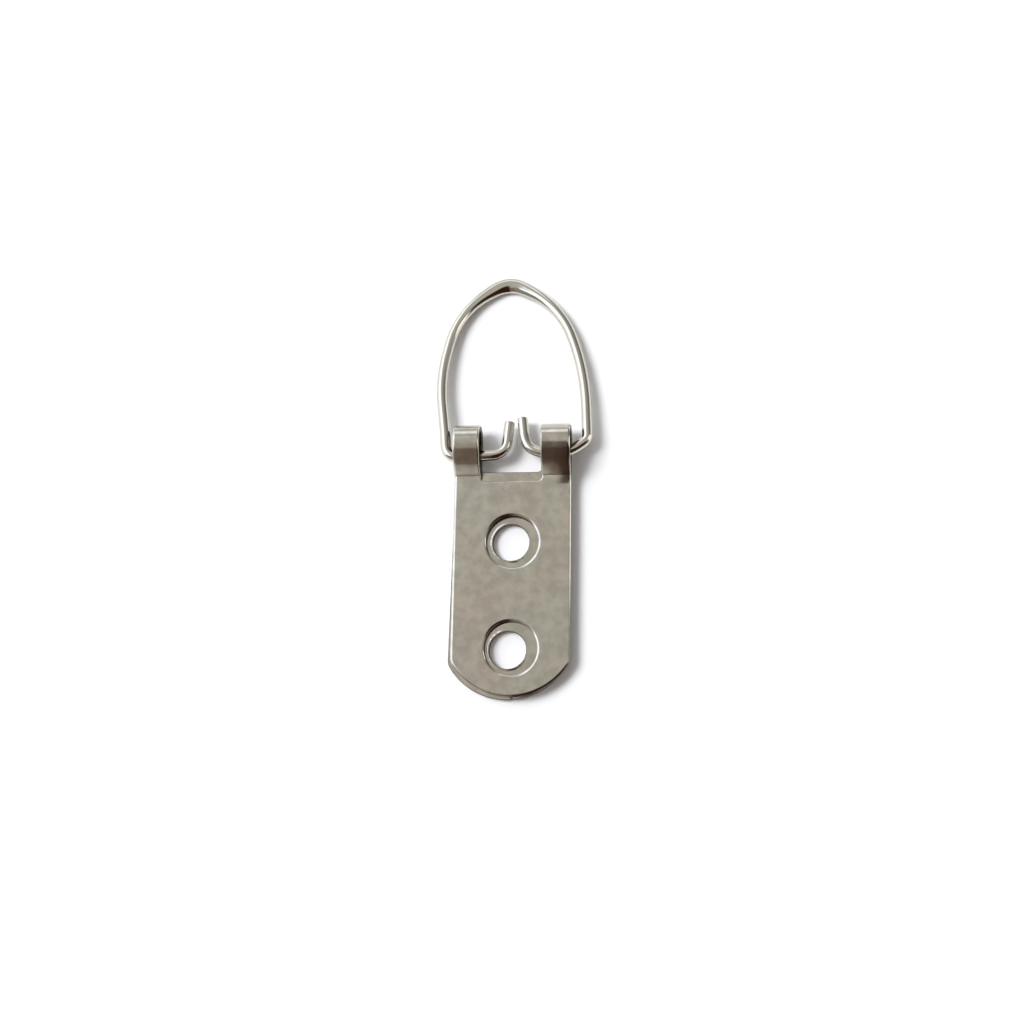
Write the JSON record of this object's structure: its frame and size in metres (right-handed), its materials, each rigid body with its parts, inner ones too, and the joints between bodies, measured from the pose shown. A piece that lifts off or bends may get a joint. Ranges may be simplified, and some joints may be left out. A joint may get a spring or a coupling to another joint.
{
  "type": "strap hanger with d-ring",
  "caption": "Folded metal strap hanger with screw holes and a pointed wire D-ring that swings in its ears.",
  "frame": {"origin": "on the strap's flat back face, on its centreline, midway between the two screw holes", "axes": "+X across the strap, +Y along the strap towards the ring, +Z out of the front, away from the surface that the strap is screwed to"},
  "size_m": [0.0217, 0.059, 0.0046],
  "materials": {
    "strap_nickel": "satin nickel plate over folded sheet steel, with bright rounded edges",
    "ring_nickel": "bright nickel plate over bent steel wire"
  },
  "bodies": {
    "strap": {"hanger_strap": "strap_nickel"},
    "ring": {"d_ring": "ring_nickel"}
  },
  "joints": [
    {"name": "ring_swing", "type": "hinge", "parent": "strap", "child": "ring", "pos_m": [0, 0.0193, 0.00195], "axis": [0.9991, 0.0419, 0], "range_deg": [-120, 170]}
  ]
}
